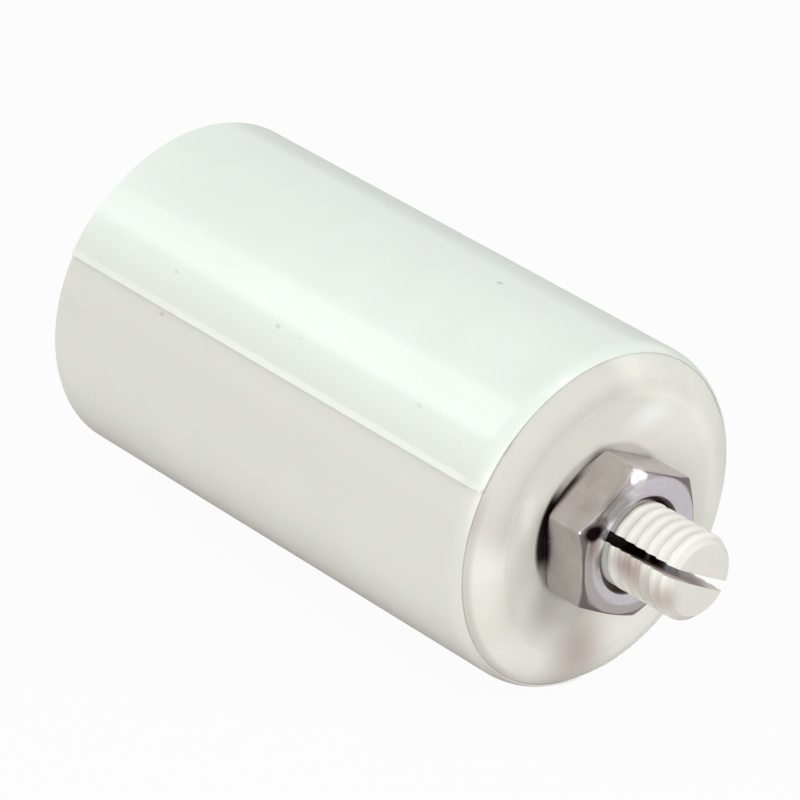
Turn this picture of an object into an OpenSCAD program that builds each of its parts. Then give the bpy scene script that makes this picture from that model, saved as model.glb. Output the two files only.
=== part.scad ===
// Motor run capacitor: plastic can with a moulded threaded stud, wrapped in a lap-seamed film sleeve.
// It lies along X: the stud points to +X, the terminals to -X, +Z is up.
// The origin is the centre of the mounting face, at the root of the stud. All sizes are millimetres.

/* [Can] */
// Outside diameter of the bare moulded can
can_d = 31.6; // [30.6:0.1:33]
// Length of the can from the mounting face to the rim round the terminals
can_len = 55.6; // [53:0.2:64]
// Thickness of the side wall
wall_t = 1.5; // [1.1:0.1:1.7]
// Thickness of the base under the nut's seat
base_t = 2.6; // [1.8:0.1:3.2]
// Rounding of the edge round the mounting face
base_round = 3; // [1.8:0.1:3.4]
// Rounding of the rim at the terminal end
rim_round = 0.5; // [0.2:0.1:0.7]
// Diameter of the shallow dish in the mounting face
dish_d = 24.2; // [21:0.2:24.6]
// How far the flat seat at the bottom of the dish runs past the nut's bearing circle
seat_margin = 0.7; // [0.4:0.1:1.2]
// Depth of the dish
dish_depth = 1.1; // [0.4:0.1:1.3]

/* [Stud] */
// Outside diameter of the thread
stud_d = 8; // [7.4:0.1:8.4]
// Length of the stud beyond the mounting face
stud_len = 11.3; // [10:0.1:14]
// Chamfer at the tip of the stud
stud_chamfer = 0.7; // [0.3:0.1:1]
// Width of the slot that splits the stud
slot_w = 0.95; // [0.6:0.05:1.2]
// Depth of the slot from the tip
slot_depth = 10; // [7:0.2:10.2]
// Direction of the slot round the axis, from +Y towards +Z
slot_turn = 146; // [130:1:160]

/* [Nut] */
// Width across the flats
nut_af = 13; // [12.6:0.1:13.4]
// Thickness
nut_t = 5; // [4:0.1:6.8]
// Direction of one corner round the axis, from +Y towards +Z
nut_turn = 29; // [0:1:59]
// Radial clearance between the thread and the nut
nut_gap = 0.05; // [0.02:0.01:0.1]

/* [Sleeve] */
// Thickness of the film
film_t = 0.18; // [0.1:0.01:0.22]
// Direction of the film's outer end round the axis, from +Y towards +Z
seam_turn = 146.5; // [140:0.5:152]
// Width of the lap under the outer end, along the circumference
lap_w = 3.7; // [2:0.1:5]
// How far the film curls round the edge of the mounting face, in degrees of the rounding
curl_base = 48; // [20:1:70]

/* [Cover] */
// Thickness of the cover
cover_t = 2; // [1.4:0.1:2.4]
// Depth of the cover's face below the rim
cover_sink = 5; // [4.4:0.1:6]
// Width of the ledge that carries the cover
ledge_w = 0.4; // [0.3:0.05:0.6]
// Height of the cover's raised edge
cover_lip_h = 1; // [0.5:0.1:1.6]
// Thickness of the cover's raised edge
cover_lip_t = 1; // [0.8:0.1:1.2]

/* [Terminals] */
// Distance between the two terminals, centre to centre
terminal_pitch = 12; // [11.4:0.2:13]
// Width of a blade
blade_w = 6.3; // [4.8:0.1:6.4]
// Thickness of the blade's sheet
blade_t = 0.8; // [0.5:0.05:0.9]
// Gap between the two blades of a terminal
blade_gap = 5.1; // [5.1:0.05:5.6]
// Height of the blades above the cover
blade_h = 9; // [8:0.1:10]
// Inside radius of the two bends
bend_r = 0.4; // [0.2:0.05:0.4]
// Diameter of the latch hole in a blade
latch_d = 1.6; // [1.2:0.1:2]
// Distance of the latch hole from the blade's tip
latch_from_tip = 3.4; // [3:0.1:4]
// Diameter of a rivet's shank
rivet_d = 3; // [2.4:0.1:3]
// Diameter of a rivet's heads
rivet_head_d = 4.2; // [3.8:0.1:4.3]
// Height of each rivet head
rivet_head_h = 0.6; // [0.4:0.1:0.8]
// Diameter of the hole through a rivet
rivet_bore_d = 1.6; // [1:0.1:1.8]

/* [Winding] */
// Thickness of the resin between the wound element and the side wall
resin_round = 1.3; // [1:0.1:3]
// Outside diameter of the core tube
core_d = 6; // [5.4:0.1:7]
// Wall of the core tube
core_wall = 0.8; // [0.5:0.1:0.9]
// Thickness of the sprayed metal on each end
spray_t = 0.6; // [0.3:0.1:0.8]
// Thickness of the wrap round the winding
wrap_t = 0.28; // [0.1:0.02:0.4]
// Height of the ribs that hold the winding off the base
rib_h = 2.4; // [2.2:0.1:3]
// Thickness of these ribs
rib_t = 1.2; // [0.8:0.1:2]
// Depth of resin over the winding
resin_over = 2.4; // [1.4:0.1:2.6]
// Height of the air space between the resin and the cover
air_over = 2.2; // [2:0.1:5]

/* [Leads] */
// Diameter of the bare wire
wire_d = 1; // [0.6:0.05:1.1]
// Wall of the insulation on the long lead
insulation_t = 0.3; // [0.2:0.05:0.4]
// Straight stretch of the long lead between its two bends over the core
wire_flat = 0.3; // [0.1:0.1:0.5]
// Thickness of a solder tag
tag_t = 0.4; // [0.3:0.05:0.6]
// Solder round the wire at a joint
solder_margin = 0.6; // [0.4:0.05:0.7]
// Length of a lead that lies along a sprayed end
foot_len = 4; // [3:0.1:5]

/* [Hidden] */
$fn = 96;

fit = 0.03;     // clearance between pieces that lie against each other
over = 1;       // how far a cutter runs past what it cuts
blade_tip = 1.2;  // corner cut off each side of a blade's tip
nib_w = 1;      // cover nibs that stop a terminal from turning
nib_h = 0.8;
rib_count = 4;
rib_inner_r = 4.6;
rib_end_gap = 1;  // from a rib to the side wall
solder_h = 0.5;
nut_edge = 0.2;   // how far a face's bearing circle lies inside the flats
nut_mouth = 0.5;  // chamfer at each mouth of the nut's bore

can_r = can_d / 2;
bore_r = can_r - wall_t;
mouth_r = bore_r + ledge_w;
nut_face_r = nut_af / 2 - nut_edge;
floor_z = -dish_depth - base_t;
cover_face_z = -can_len + cover_sink;
cover_back_z = cover_face_z + cover_t;
stack_base_z = floor_z - rib_h;
resin_z = cover_back_z + air_over;
stack_cover_z = resin_z + resin_over;
rib_outer_r = bore_r - rib_end_gap;
core_r = core_d / 2;
core_bore_r = core_r - core_wall;
wrap_r = bore_r - resin_round;
winding_r = wrap_r - wrap_t - fit;
wire_r = wire_d / 2;
insulated_r = wire_r + insulation_t;
terminal_y = terminal_pitch / 2;
tag_z = cover_back_z + tag_t;
wire_start_z = tag_z + fit;
base_run_z = stack_base_z + insulated_r + fit;
cover_run_z = stack_cover_z - insulated_r - fit;
solder_r = wire_r + solder_margin;
tag_reach = rivet_head_d / 2 + solder_r + 3 * fit;
wire_y = terminal_y - tag_reach;
wire_bend = (wire_y - wire_flat) / 2;
foot_y = core_r + foot_len;
joint_y = foot_y - foot_len / 3;

// Turns a piece made along Z so that it lies along X: its X becomes Y and its Y becomes Z.
module along_x() {
  rotate([90, 0, 90]) children();
}

// A cylinder between two heights, in whichever order they come.
module barrel(r, z_a, z_b) {
  translate([0, 0, min(z_a, z_b)]) cylinder(r = r, h = abs(z_b - z_a));
}

// The half section of a closed can, rounded at both edges.
module rounded_half(r, z_low, z_high, round_low, round_high) {
  translate([0, z_low]) square([r - round_low, round_low]);
  translate([0, z_low + round_low]) square([r, z_high - z_low - round_low - round_high]);
  translate([0, z_high - round_high]) square([r - round_high, round_high]);
  intersection() {
    translate([0, z_low]) square([r, z_high - z_low]);
    union() {
      translate([r - round_low, z_low + round_low]) circle(r = round_low);
      translate([r - round_high, z_high - round_high]) circle(r = round_high);
    }
  }
}

// Space above the mounting face: part of a ball, with a flat seat for the nut.
module dish_cut() {
  dish_r = dish_d / 2;
  seat_r = nut_face_r + seat_margin;
  ball_z = (dish_r * dish_r - seat_r * seat_r - dish_depth * dish_depth) / (2 * dish_depth);
  ball_r = sqrt(ball_z * ball_z + dish_r * dish_r);
  intersection() {
    translate([0, 0, ball_z]) sphere(r = ball_r, $fn = 180);
    barrel(dish_r + over, -dish_depth, over);
  }
}

// Thread blank of the stud, with a chamfered tip.
module stud() {
  barrel(stud_d / 2, floor_z, stud_len - stud_chamfer);
  translate([0, 0, stud_len - stud_chamfer])
    cylinder(r1 = stud_d / 2, r2 = stud_d / 2 - stud_chamfer, h = stud_chamfer);
}

// Ribs inside the base, drawn larger by the given clearance. They stand clear of the side wall:
// the wound element rests on them and the resin runs between and round them.
module base_ribs(grow) {
  for (i = [0 : rib_count - 1]) {
    rotate([0, 0, 360 / rib_count * (i + 0.5)])
      translate([rib_inner_r - grow, -rib_t / 2 - grow, stack_base_z - grow])
        cube([rib_outer_r - rib_inner_r + 2 * grow, rib_t + 2 * grow, rib_h + over]);
  }
}

module case() {
  color("ivory") along_x() difference() {
    union() {
      difference() {
        rotate_extrude() rounded_half(can_r, -can_len, 0, rim_round, base_round);
        dish_cut();
        barrel(bore_r, floor_z, -can_len - over);
        barrel(mouth_r, cover_back_z, -can_len - over);
      }
      stud();
      base_ribs(0);
    }
    rotate([0, 0, slot_turn])
      translate([-stud_d, -slot_w / 2, stud_len - slot_depth])
        cube([2 * stud_d, slot_w, slot_depth + over]);
  }
}

// Half section of film: straight along the can and curled over the base edge.
module film_half(inner_r, thick) {
  round_r = base_round + inner_r - can_r;
  reach = round_r + thick + over;
  translate([inner_r, -can_len + rim_round])
    square([thick, can_len - rim_round - base_round]);
  translate([can_r - base_round, -base_round])
    intersection() {
      difference() {
        circle(r = round_r + thick);
        circle(r = round_r);
      }
      polygon([[0, 0], [reach, 0], [reach, reach * tan(curl_base / 2)],
               [reach * cos(curl_base), reach * sin(curl_base)]]);
    }
}

// One turn of film whose outer end lies on its inner end.
module film_sleeve() {
  lap_angle = lap_w / can_r * 180 / PI;
  color("whitesmoke") along_x() {
    rotate_extrude()
      film_half(can_r + fit, film_t);
    rotate([0, 0, seam_turn - lap_angle])
      rotate_extrude(angle = lap_angle)
        film_half(can_r + fit + film_t / 2, film_t * 1.5);
  }
}

// Hexagon with a 30 degree chamfer round both faces, and a chamfer at each mouth of the bore.
module hex_nut() {
  corner_r = nut_af / 2 / cos(30);
  cone_r = nut_face_r + nut_t / tan(30);
  bore_r = stud_d / 2 + nut_gap;
  color("silver") along_x() translate([0, 0, -dish_depth]) {
    difference() {
      intersection() {
        rotate([0, 0, nut_turn]) cylinder(r = corner_r, h = nut_t, $fn = 6);
        cylinder(r1 = nut_face_r, r2 = cone_r, h = nut_t);
        cylinder(r1 = cone_r, r2 = nut_face_r, h = nut_t);
      }
      barrel(bore_r, -over, nut_t + over);
      cylinder(r1 = bore_r + nut_mouth, r2 = bore_r, h = nut_mouth);
      translate([0, 0, nut_t - nut_mouth])
        cylinder(r1 = bore_r, r2 = bore_r + nut_mouth, h = nut_mouth);
    }
  }
}

// Places a piece of the terminal end: origin on the cover's outer face, its Z pointing out of the can.
module on_cover(y = 0) {
  translate([0, y, cover_face_z]) mirror([0, 0, 1]) children();
}

// Low blocks on the cover, one each side of a terminal's base.
module turn_stops() {
  stop_x = blade_w / 2 + fit;
  for (side = [-1, 1]) {
    translate([side > 0 ? stop_x : -stop_x - nib_w, -nib_w, -fit])
      cube([nib_w, 2 * nib_w, nib_h + fit]);
  }
}

module cover() {
  rim_r = mouth_r - fit;
  color("ivory") along_x() on_cover() {
    difference() {
      union() {
        barrel(rim_r, -cover_t + fit, 0);
        difference() {
          barrel(rim_r, 0, cover_lip_h);
          barrel(rim_r - cover_lip_t, -over, cover_lip_h + over);
        }
        for (y = [-terminal_y, terminal_y]) translate([0, y, 0]) turn_stops();
      }
      for (y = [-terminal_y, terminal_y])
        translate([0, y, 0]) barrel(rivet_d / 2 + fit, -cover_t - over, over);
    }
  }
}

// Outline of the folded strip, seen along the fold: a U with round bends.
module folded_outline(half_w, height, round_r) {
  translate([-half_w + round_r, 0]) square([2 * (half_w - round_r), height]);
  translate([-half_w, round_r]) square([2 * half_w, height - round_r]);
  for (side = [-1, 1])
    translate([side * (half_w - round_r), round_r]) circle(r = round_r);
}

// Two blades folded up from one strip, with a rivet hole in the base between them.
module double_tab() {
  inner_w = blade_gap / 2;
  tip_w = blade_w / 2 - blade_tip;
  hole_h = blade_h - latch_from_tip;
  difference() {
    rotate([90, 0, 90]) translate([0, 0, -blade_w / 2]) linear_extrude(blade_w)
      difference() {
        translate([0, fit]) folded_outline(inner_w + blade_t, blade_h - fit, bend_r + blade_t);
        translate([0, fit + blade_t]) folded_outline(inner_w, blade_h, bend_r);
      }
    for (side = [-1, 1])
      rotate([90, 0, 0]) translate([0, 0, -blade_gap]) linear_extrude(2 * blade_gap)
        polygon([[side * tip_w, blade_h + over / 2], [side * blade_w, blade_h + over / 2],
                 [side * blade_w, blade_h - blade_tip * 2], [side * blade_w / 2, blade_h - blade_tip],
                 [side * tip_w, blade_h]]);
    translate([0, 0, hole_h]) rotate([90, 0, 0])
      translate([0, 0, -blade_gap]) cylinder(r = latch_d / 2, h = 2 * blade_gap);
    barrel(rivet_d / 2 + fit, -over, bend_r + blade_t);
  }
}

module terminal_upper() {
  color("gainsboro") along_x() on_cover(terminal_y) double_tab();
}

module terminal_lower() {
  color("gainsboro") along_x() on_cover(-terminal_y) double_tab();
}

// Hollow rivet: its outer head holds the terminal's base and its inner head the solder tag.
module rivet() {
  head_z = fit + blade_t + fit;
  inner_z = -cover_t - tag_t - fit;
  difference() {
    union() {
      barrel(rivet_head_d / 2, head_z, head_z + rivet_head_h);
      barrel(rivet_d / 2, inner_z, head_z);
      barrel(rivet_head_d / 2, inner_z - rivet_head_h, inner_z);
    }
    barrel(rivet_bore_d / 2, inner_z - 2 * over, head_z + 2 * over);
  }
}

module rivet_upper() {
  color("goldenrod") along_x() on_cover(terminal_y) rivet();
}

module rivet_lower() {
  color("goldenrod") along_x() on_cover(-terminal_y) rivet();
}

// Ring under the rivet with a tail that reaches towards the axis (its own -Y).
module solder_tag() {
  tail_w = wire_d + 2 * solder_margin;
  difference() {
    union() {
      barrel(rivet_head_d / 2 + fit, 0, tag_t - fit);
      translate([-tail_w / 2, -tag_reach, 0]) cube([tail_w, tag_reach, tag_t - fit]);
      translate([0, -tag_reach, 0]) barrel(tail_w / 2, 0, tag_t - fit);
    }
    barrel(rivet_d / 2 + fit, -over, tag_t + over);
  }
}

module tag_upper() {
  color("gold") along_x() translate([0, terminal_y, cover_back_z + fit]) solder_tag();
}

module tag_lower() {
  color("gold") along_x() translate([0, -terminal_y, cover_back_z + fit]) mirror([0, 1, 0]) solder_tag();
}

// A quarter bend of a round lead, from a run along Z to a run along Y.
// It starts at the origin heading for +Z and ends at [0, wire_bend, wire_bend] heading for +Y.
module quarter_bend(r) {
  translate([0, wire_bend, 0]) rotate([90, 0, 90]) rotate([0, 0, 90])
    rotate_extrude(angle = 90) translate([wire_bend, 0]) circle(r = r, $fn = 32);
}

// Short lead: from the upper tag straight down to the sprayed end, then a foot along it.
module upper_path(r) {
  translate([0, wire_y, 0]) {
    barrel(r, wire_start_z, cover_run_z - wire_bend);
    translate([0, 0, cover_run_z - wire_bend]) quarter_bend(r);
    translate([0, wire_bend, cover_run_z]) rotate([-90, 0, 0])
      barrel(r, 0, foot_y - wire_y - wire_bend);
  }
}

// Long lead, insulated stretch: off the lower tag's side, into the core and out at the base.
module lower_path_insulated(r) {
  turn_z = wire_start_z + 2 * wire_bend;
  translate([0, 0, turn_z]) rotate([180, 0, 0]) quarter_bend(r);
  barrel(r, turn_z, base_run_z - wire_bend);
  translate([0, 0, base_run_z - wire_bend]) mirror([0, 1, 0]) quarter_bend(r);
  translate([0, -wire_bend, base_run_z]) rotate([90, 0, 0])
    barrel(r, 0, core_r - wire_bend);
}

// Long lead, bare ends: the first bend under the lower tag, and the foot on the sprayed end.
module lower_path_bare(r) {
  translate([0, -wire_y, wire_start_z]) quarter_bend(r);
  translate([0, -wire_bend - wire_flat, wire_start_z + wire_bend]) rotate([-90, 0, 0])
    barrel(r, 0, wire_flat);
  translate([0, -core_r, base_run_z]) rotate([90, 0, 0])
    barrel(r, 0, foot_y - core_r);
}

module lead_upper() {
  color("lightgray") along_x() upper_path(wire_r);
}

module lead_lower() {
  color("lightgray") along_x() {
    lower_path_insulated(wire_r);
    lower_path_bare(wire_r);
  }
}

module lead_insulation() {
  color("royalblue") along_x() difference() {
    lower_path_insulated(insulated_r);
    lower_path_insulated(wire_r + fit);
    lower_path_bare(wire_r + fit);
  }
}

// Solder at the four ends of the leads, drawn larger by the given clearance.
module solder(grow) {
  joint_r = solder_r + grow;
  translate([0, -joint_y, 0])
    barrel(joint_r, stack_base_z + fit - grow, base_run_z + wire_r / 2 + grow);
  translate([0, joint_y, 0])
    barrel(joint_r, stack_cover_z - fit + grow, cover_run_z - wire_r / 2 - grow);
  for (y = [-wire_y, wire_y])
    translate([0, y, 0]) barrel(joint_r, wire_start_z, wire_start_z + solder_h);
}

module solder_joints() {
  color("darkgray") along_x() difference() {
    solder(0);
    upper_path(wire_r + fit);
    lower_path_bare(wire_r + fit);
    lower_path_insulated(insulated_r + fit);
  }
}

// A ring that lies along the axis between two heights.
module ring(outer_r, inner_r, z_a, z_b) {
  difference() {
    barrel(outer_r, z_a, z_b);
    barrel(inner_r, min(z_a, z_b) - over, max(z_a, z_b) + over);
  }
}

module winding() {
  color("lightsteelblue") along_x()
    ring(winding_r, core_r + fit, stack_base_z - spray_t - fit, stack_cover_z + spray_t + fit);
}

module winding_core() {
  color("tan") along_x() ring(core_r, core_bore_r, stack_base_z - fit, stack_cover_z);
}

module winding_wrap() {
  color("khaki") along_x() ring(wrap_r, winding_r + fit, stack_base_z, stack_cover_z);
}

module spray_base() {
  color("slategray") along_x()
    ring(winding_r, core_r + fit, stack_base_z - spray_t, stack_base_z - fit);
}

module spray_cover() {
  color("slategray") along_x()
    ring(winding_r, core_r + fit, stack_cover_z, stack_cover_z + spray_t);
}

// Resin cast round the wound element: it fills the space to the can, under and over the element.
module potting() {
  color("darkolivegreen") along_x() difference() {
    barrel(bore_r - fit, resin_z, floor_z - fit);
    barrel(wrap_r + fit, stack_cover_z - fit, stack_base_z + fit);
    base_ribs(fit);
    upper_path(wire_r + fit);
    lower_path_bare(wire_r + fit);
    lower_path_insulated(insulated_r + fit);
    solder(fit);
  }
}

case();
film_sleeve();
hex_nut();
cover();
terminal_upper();
terminal_lower();
rivet_upper();
rivet_lower();
tag_upper();
tag_lower();
lead_upper();
lead_lower();
lead_insulation();
solder_joints();
winding();
winding_core();
winding_wrap();
spray_base();
spray_cover();
potting();
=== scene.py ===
from math import atan2, cos, pi, radians, sin, sqrt, tan

import bmesh
import bpy
import numpy as np
from mathutils import Matrix, Vector


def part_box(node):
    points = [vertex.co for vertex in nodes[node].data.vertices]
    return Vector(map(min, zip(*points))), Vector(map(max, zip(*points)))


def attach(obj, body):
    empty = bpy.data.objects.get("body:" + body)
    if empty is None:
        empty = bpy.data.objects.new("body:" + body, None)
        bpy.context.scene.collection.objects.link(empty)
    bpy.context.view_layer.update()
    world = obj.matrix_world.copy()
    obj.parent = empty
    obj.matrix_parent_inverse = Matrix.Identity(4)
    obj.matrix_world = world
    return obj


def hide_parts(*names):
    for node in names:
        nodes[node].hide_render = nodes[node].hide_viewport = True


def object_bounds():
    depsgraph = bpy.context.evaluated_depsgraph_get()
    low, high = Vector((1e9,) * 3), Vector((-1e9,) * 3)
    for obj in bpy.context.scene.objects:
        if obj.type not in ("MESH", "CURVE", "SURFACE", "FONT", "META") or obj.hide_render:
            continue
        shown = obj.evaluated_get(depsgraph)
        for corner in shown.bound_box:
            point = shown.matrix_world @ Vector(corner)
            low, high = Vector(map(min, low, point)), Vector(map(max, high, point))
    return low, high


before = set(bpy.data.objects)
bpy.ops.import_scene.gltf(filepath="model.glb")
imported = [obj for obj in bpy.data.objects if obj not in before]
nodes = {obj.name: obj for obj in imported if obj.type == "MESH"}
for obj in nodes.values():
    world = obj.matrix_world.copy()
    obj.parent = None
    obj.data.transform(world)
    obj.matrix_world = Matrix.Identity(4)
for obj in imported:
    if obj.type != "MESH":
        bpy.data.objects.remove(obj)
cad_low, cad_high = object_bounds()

MM = 0.001


# ---------------------------------------------------------------------------
# The wound element: metallised film wound on a plastic tube and wrapped in clear film.
# Both ends are sprayed with zinc, which ties the edges of all the turns together.
# ---------------------------------------------------------------------------

WINDING_RING_MM = 0.25
GRAIN_LOW, GRAIN_HIGH = 0.3, 0.7
CLOUD_SPREAD = 0.15
ROUGHNESS_SPREAD = 0.15


def new_group(name, inputs, outputs):
    """An empty node group, with its input node and its output node.

    Each input is (name, socket type, value), each output (name, socket type).
    """
    group = bpy.data.node_groups.new(name, "ShaderNodeTree")
    for label, kind, value in inputs:
        group.interface.new_socket(label, in_out="INPUT", socket_type=kind).default_value = value
    for label, kind in outputs:
        group.interface.new_socket(label, in_out="OUTPUT", socket_type=kind)
    return group, group.nodes.new("NodeGroupInput"), group.nodes.new("NodeGroupOutput")


def place_group(tree, group, **values):
    """Places a node group in a tree with its own values. Returns the node."""
    node = tree.nodes.new("ShaderNodeGroup")
    node.node_tree = group
    for label, value in values.items():
        node.inputs[label.replace("_", " ")].default_value = value
    return node


def wire(tree, *pairs):
    """Joins sockets: each pair is (output, input)."""
    for source, target in pairs:
        tree.links.new(source, target)


def operate(tree, kind, operation, operands):
    """A maths node. Each operand is a plain value or a socket. Returns the node."""
    node = tree.nodes.new(kind)
    node.operation = operation
    for target, operand in zip(node.inputs, operands):
        if isinstance(operand, bpy.types.NodeSocket):
            tree.links.new(operand, target)
        else:
            target.default_value = operand
    return node


def arithmetic(tree, operation, *operands):
    """The result of a Math node."""
    return operate(tree, "ShaderNodeMath", operation, operands).outputs["Value"]


def vector_maths(tree, operation, *operands):
    """A Vector Math node."""
    return operate(tree, "ShaderNodeVectorMath", operation, operands)


def multiply(tree, first, second):
    """The product of two numbers or sockets."""
    return arithmetic(tree, "MULTIPLY", first, second)


def ramp(tree, source, low, high, to_low=0.0, to_high=1.0):
    """Maps source from low..high to to_low..to_high, with smooth ends. Returns the output."""
    node = tree.nodes.new("ShaderNodeMapRange")
    node.interpolation_type = "SMOOTHSTEP"
    limits = {"From Min": low, "From Max": high, "To Min": to_low, "To Max": to_high}
    for label, value in limits.items():
        node.inputs[label].default_value = value
    tree.links.new(source, node.inputs["Value"])
    return node.outputs["Result"]


def blend_colour(tree, factor, first, second):
    """Mixes two colours, each given as (r, g, b) or as a socket. Returns the colour output."""
    node = tree.nodes.new("ShaderNodeMix")
    node.data_type = "RGBA"
    for label, value in (("A", first), ("B", second)):
        target = next(s for s in node.inputs if s.name == label and s.type == "RGBA")
        if isinstance(value, tuple):
            target.default_value = (*value, 1)
        else:
            tree.links.new(value, target)
    tree.links.new(factor, node.inputs["Factor"])
    return next(s for s in node.outputs if s.type == "RGBA")


def own_place(tree):
    """The place in the object's own space, in metres, and its outputs X, Y and Z."""
    place = tree.nodes.new("ShaderNodeTexCoord").outputs["Object"]
    split = tree.nodes.new("ShaderNodeSeparateXYZ")
    tree.links.new(place, split.inputs[0])
    return place, split.outputs


def make_grain():
    """Fine unevenness in the object's own space: a height, and a cloudy mask from 0 to 1."""
    group, given, out = new_group(
        "fine_grain",
        [("Size", "NodeSocketFloat", 1.0), ("Cloud Size", "NodeSocketFloat", 8.0)],
        [("Height", "NodeSocketFloat"), ("Cloud", "NodeSocketFloat")],
    )
    place = group.nodes.new("ShaderNodeTexCoord").outputs["Object"]
    for size, result, detail in (("Size", "Height", 4.0), ("Cloud Size", "Cloud", 2.0)):
        noise = group.nodes.new("ShaderNodeTexNoise")
        noise.inputs["Detail"].default_value = detail
        per_metre = arithmetic(group, "DIVIDE", 1.0 / MM, given.outputs[size])
        wire(group,
             (place, noise.inputs["Vector"]),
             (per_metre, noise.inputs["Scale"]),
             (noise.outputs["Fac"], out.inputs[result]))
    return group


def make_round_axis():
    """Where a point lies on a round part, in mm: its distance from the axis, and along it."""
    group, _, out = new_group(
        "round_axis", [], [("Radius", "NodeSocketFloat"), ("Along", "NodeSocketFloat")])
    _, axes = own_place(group)
    square = arithmetic(
        group, "ADD",
        multiply(group, axes["Y"], axes["Y"]),
        multiply(group, axes["Z"], axes["Z"]))
    radius = multiply(group, arithmetic(group, "SQRT", square), 1.0 / MM)
    along = multiply(group, axes["X"], 1.0 / MM)
    wire(group, (radius, out.inputs["Radius"]), (along, out.inputs["Along"]))
    return group


fine_grain = make_grain()
round_axis = make_round_axis()


def finish(name, roughness, **plain):
    """A material with one Principled shader. Plain values go on the shader's own sockets."""
    material = bpy.data.materials.new(name)
    material.use_nodes = True
    shader = material.node_tree.nodes["Principled BSDF"]
    shader.inputs["Roughness"].default_value = roughness
    for label, value in plain.items():
        shader.inputs[label.replace("_", " ")].default_value = value
    return material, material.node_tree, shader


def drifting_tone(tree, grain, dark, light, spread=0.2):
    """A colour that drifts from dark to light, within spread of the middle of the clouds."""
    cloud = ramp(tree, grain.outputs["Cloud"], 0.5 - spread, 0.5 + spread)
    return blend_colour(tree, cloud, dark, light)


def vary_roughness(tree, shader, grain, smoothest, roughest):
    """Lets the shader's roughness follow the grain."""
    rough = ramp(tree, grain.outputs["Height"], GRAIN_LOW, GRAIN_HIGH, smoothest, roughest)
    wire(tree, (rough, shader.inputs["Roughness"]))


def raise_bump(tree, shader, height, distance):
    """Feeds a height, in units of distance (metres), to the shader's normal."""
    bump = tree.nodes.new("ShaderNodeBump")
    bump.inputs["Distance"].default_value = distance
    wire(tree, (height, bump.inputs["Height"]), (bump.outputs["Normal"], shader.inputs["Normal"]))


def cloudy(name, dark, light, roughness, grain_mm, cloud_mm, bump_mm, **plain):
    """A finish whose colour drifts between two tones over a fine grain."""
    material, tree, shader = finish(name, roughness, **plain)
    grain = place_group(tree, fine_grain, Size=grain_mm, Cloud_Size=cloud_mm)
    tone = drifting_tone(tree, grain, dark, light, CLOUD_SPREAD)
    wire(tree, (tone, shader.inputs["Base Color"]))
    vary_roughness(tree, shader, grain,
                   roughness * (1 - ROUGHNESS_SPREAD), roughness * (1 + ROUGHNESS_SPREAD))
    raise_bump(tree, shader, grain.outputs["Height"], bump_mm * MM)
    return material


def dress(material, *names):
    """Gives CAD nodes a finish in place of their plain one."""
    for name in names:
        for slot_of_node in nodes[name].material_slots:
            slot_of_node.material = material


def make_wound_film():
    """Metallised film seen on edge: very thin bright and dull rings round the axis."""
    material, tree, shader = finish("wound_film", 0.34, Metallic=0.7)
    radius = place_group(tree, round_axis).outputs["Radius"]
    turns = arithmetic(tree, "SINE", multiply(tree, radius, 2 * pi / WINDING_RING_MM))
    tone = blend_colour(tree, ramp(tree, turns, -1, 1), (0.42, 0.45, 0.50), (0.66, 0.68, 0.72))
    wire(tree, (tone, shader.inputs["Base Color"]))
    raise_bump(tree, shader, turns, 0.02 * MM)
    return material


dress(make_wound_film(), "winding")
dress(cloudy("core_tube", (0.66, 0.55, 0.36), (0.76, 0.66, 0.46), 0.5, 0.5, 6, 0.01),
      "winding_core")
dress(cloudy("wrap_film", (0.72, 0.66, 0.36), (0.80, 0.75, 0.46), 0.22, 2.5, 9, 0.02),
      "winding_wrap")
dress(cloudy("sprayed_zinc", (0.20, 0.205, 0.215), (0.34, 0.345, 0.36), 0.72, 0.22, 3, 0.09,
             Metallic=0.8),
      "spray_base", "spray_cover")


# ---------------------------------------------------------------------------
# The leads: tinned copper wire, soldered to the sprayed ends and to a brass tag under each rivet.
# The long one is insulated where it runs through the core tube.
# ---------------------------------------------------------------------------

dress(cloudy("tinned_copper", (0.62, 0.58, 0.54), (0.74, 0.72, 0.70), 0.3, 0.3, 2, 0.008,
             Metallic=1.0),
      "lead_upper", "lead_lower")
dress(cloudy("insulation", (0.025, 0.07, 0.26), (0.035, 0.095, 0.33), 0.42, 0.25, 4, 0.006),
      "lead_insulation")
dress(cloudy("solder", (0.48, 0.48, 0.50), (0.66, 0.66, 0.67), 0.28, 0.6, 1.2, 0.05,
             Metallic=1.0),
      "solder_joints")
dress(cloudy("tag_brass", (0.62, 0.58, 0.48), (0.74, 0.71, 0.62), 0.32, 0.2, 1.5, 0.008,
             Metallic=1.0),
      "tag_upper", "tag_lower")


# ---------------------------------------------------------------------------
# The resin: poured in round the wound element, then set hard.
# It is dark and glossy, with faint waves on its surface.
# ---------------------------------------------------------------------------

dress(cloudy("resin", (0.030, 0.028, 0.018), (0.055, 0.050, 0.032), 0.16, 1.6, 7, 0.05,
             Coat_Weight=0.4),
      "potting")


# ---------------------------------------------------------------------------
# The can: moulded in cream-white plastic in one piece with its threaded stud.
# The mounting face is a shallow dish round a flat seat for the nut, and a slot splits the stud
# from its tip.
# ---------------------------------------------------------------------------

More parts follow.
